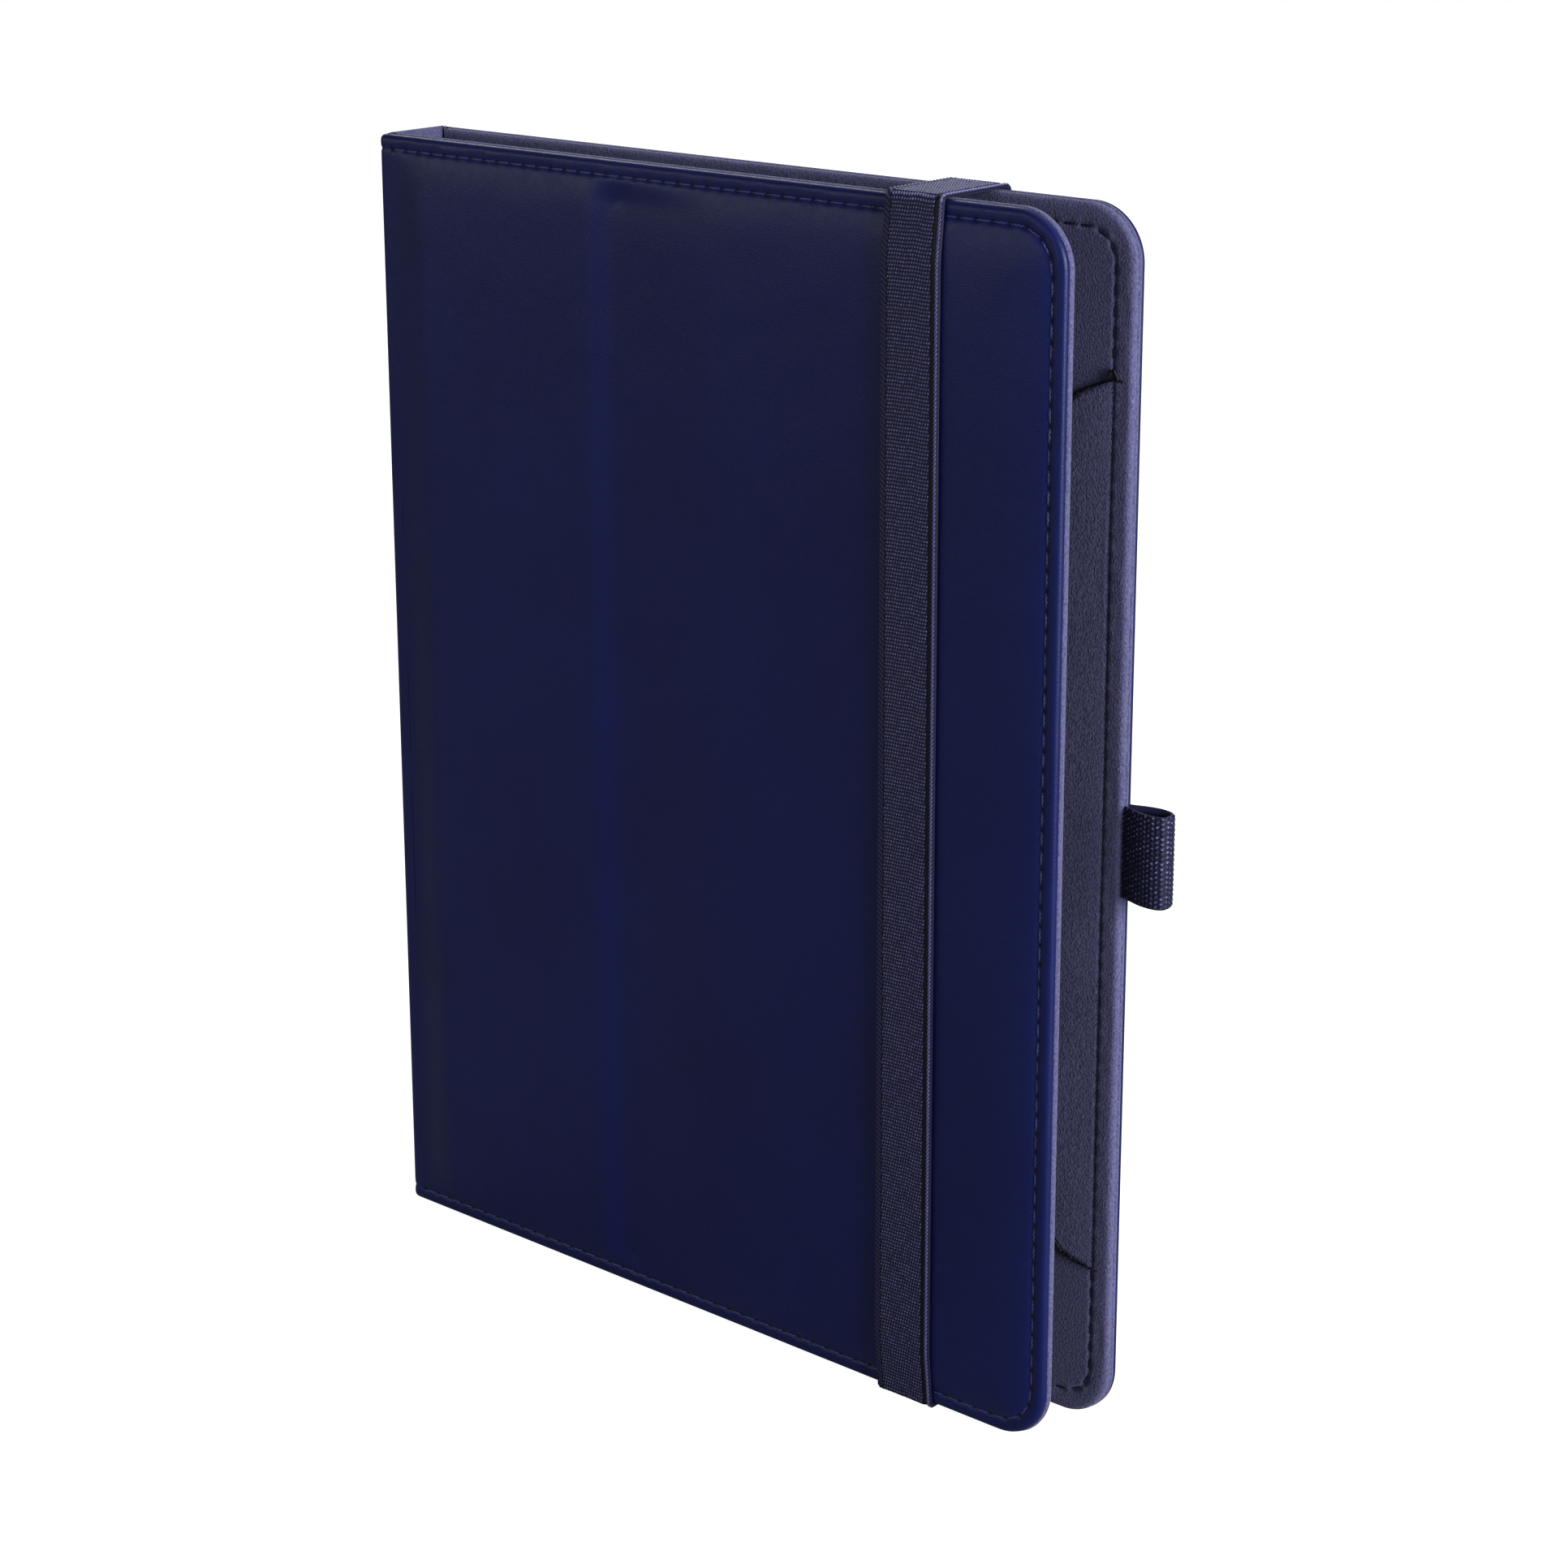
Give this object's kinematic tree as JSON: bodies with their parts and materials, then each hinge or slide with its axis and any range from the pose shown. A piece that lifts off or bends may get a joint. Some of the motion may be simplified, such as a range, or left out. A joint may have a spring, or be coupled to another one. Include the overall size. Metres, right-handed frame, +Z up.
{
  "type": "tablet keyboard case",
  "caption": "Navy book-style tablet keyboard case with creased front cover, elastic closing strap, pen loop and a keyboard on the rear cover, standing closed.",
  "frame": {"origin": "centre of the bounding box's bottom, under the closed case standing on its short edge", "axes": "+Z up along the spine, front cover towards -Y, spine at -X and free edge with the pen loop at +X"},
  "size_m": [0.211, 0.0232, 0.2668],
  "materials": {
    "navy_skin": "fine grained soft synthetic leather, satin",
    "suede": "brushed microfibre lining",
    "elastic": "ribbed woven elastic",
    "webbing": "ribbed elastic webbing",
    "cover_board": "pressed grey board",
    "black_plastic": "moulded, matt",
    "key_plastic": "moulded, fine matt",
    "lamp_plastic": "clear light pipe",
    "steel": "plain sheet",
    "film": "printed contact film",
    "dome_rubber": "silicone domes",
    "circuit": "coated laminate",
    "cell": "foil pouch",
    "tape": "double-sided fixing tape"
  },
  "bodies": {
    "rear_cover": {"rear_skin": "navy_skin", "rear_board": "cover_board", "rear_lining": "suede", "keyboard_flap": "suede", "stand_rails": "suede", "pen_loop": "webbing", "strap_back_ends": "elastic", "strap_top_return": "elastic", "strap_bottom_return": "elastic", "rear_fold_skin": "navy_skin", "rear_fold_lining": "suede", "keyboard_base": "black_plastic", "keyboard_frame": "black_plastic", "keyboard_plate": "steel", "key_film": "film", "key_domes": "dome_rubber", "keyboard_screws": "steel", "circuit_board": "circuit", "battery": "cell", "charge_socket": "steel", "status_lamps": "lamp_plastic", "fixing_tapes": "tape"},
    "spine": {"spine_skin": "navy_skin", "spine_board": "cover_board", "spine_lining": "suede", "front_fold_skin": "navy_skin", "front_fold_lining": "suede"},
    "front_inner": {"front_inner_skin": "navy_skin", "front_inner_board": "cover_board", "front_inner_lining": "suede", "crease_skin": "navy_skin", "crease_lining": "suede"},
    "front_outer": {"front_outer_skin": "navy_skin", "front_outer_board": "cover_board", "front_outer_lining": "suede", "corner_bands": "elastic", "edge_clips": "suede"},
    "strap": {"strap_front_run": "elastic"},
    "function_row": {"keys_function_row": "key_plastic"},
    "number_row": {"keys_number_row": "key_plastic"},
    "upper_row": {"keys_upper_row": "key_plastic"},
    "home_row": {"keys_home_row": "key_plastic"},
    "lower_row": {"keys_lower_row": "key_plastic"},
    "bottom_row": {"keys_bottom_row": "key_plastic"},
    "space_bar": {"space_bar": "key_plastic"},
    "power_switch": {"power_switch": "key_plastic"},
    "pair_button": {"pair_button": "key_plastic"}
  },
  "joints": [
    {"name": "spine_fold", "type": "hinge", "parent": "rear_cover", "child": "spine", "pos_m": [-0.10555, 0.0105, 0.1334], "axis": [0, 0, -1], "range_deg": [0, 90], "deforming": ["rear_fold_skin", "rear_fold_lining", "front_fold_skin", "front_fold_lining", "strap_front_run", "strap_top_return", "strap_bottom_return"]},
    {"name": "front_fold", "type": "hinge", "parent": "spine", "child": "front_inner", "pos_m": [-0.10555, -0.0105, 0.1334], "axis": [0, 0, -1], "range_deg": [0, 90], "deforming": ["front_fold_skin", "front_fold_lining"]},
    {"name": "crease_fold", "type": "hinge", "parent": "front_inner", "child": "front_outer", "pos_m": [-0.03525, -0.0105, 0.1334], "axis": [0, 0, -1], "range_deg": [0, 100], "deforming": ["crease_skin", "crease_lining", "strap_front_run", "strap_top_return", "strap_bottom_return"]},
    {"name": "strap_release", "type": "slide", "parent": "rear_cover", "child": "strap", "axis": [0, 1, 0], "range_m": [0, 0.0234], "deforming": ["strap_front_run", "strap_top_return", "strap_bottom_return"]},
    {"name": "press_function_row", "type": "slide", "parent": "rear_cover", "child": "function_row", "axis": [0, 1, 0], "range_m": [0, 0.0011], "stiffness_N_per_m": 400, "deforming": ["key_domes"]},
    {"name": "press_number_row", "type": "slide", "parent": "rear_cover", "child": "number_row", "axis": [0, 1, 0], "range_m": [0, 0.0011], "stiffness_N_per_m": 400, "deforming": ["key_domes"]},
    {"name": "press_upper_row", "type": "slide", "parent": "rear_cover", "child": "upper_row", "axis": [0, 1, 0], "range_m": [0, 0.0011], "stiffness_N_per_m": 400, "deforming": ["key_domes"]},
    {"name": "press_home_row", "type": "slide", "parent": "rear_cover", "child": "home_row", "axis": [0, 1, 0], "range_m": [0, 0.0011], "stiffness_N_per_m": 400, "deforming": ["key_domes"]},
    {"name": "press_lower_row", "type": "slide", "parent": "rear_cover", "child": "lower_row", "axis": [0, 1, 0], "range_m": [0, 0.0011], "stiffness_N_per_m": 400, "deforming": ["key_domes"]},
    {"name": "press_bottom_row", "type": "slide", "parent": "rear_cover", "child": "bottom_row", "axis": [0, 1, 0], "range_m": [0, 0.0011], "stiffness_N_per_m": 400, "deforming": ["key_domes"]},
    {"name": "press_space_bar", "type": "slide", "parent": "rear_cover", "child": "space_bar", "axis": [0, 1, 0], "range_m": [0, 0.0011], "stiffness_N_per_m": 400, "deforming": ["key_domes"]},
    {"name": "slide_power_switch", "type": "slide", "parent": "rear_cover", "child": "power_switch", "axis": [0, 0, 1], "range_m": [0, 0.0033]},
    {"name": "press_pair_button", "type": "slide", "parent": "rear_cover", "child": "pair_button", "axis": [0, 1, 0], "range_m": [0, 0.0006], "stiffness_N_per_m": 300}
  ],
  "couplings": [
    {"joint": "front_fold", "follows": "spine_fold", "ratio": 1},
    {"joint": "strap_release", "follows": "spine_fold", "m_per_rad": 0.014833}
  ]
}
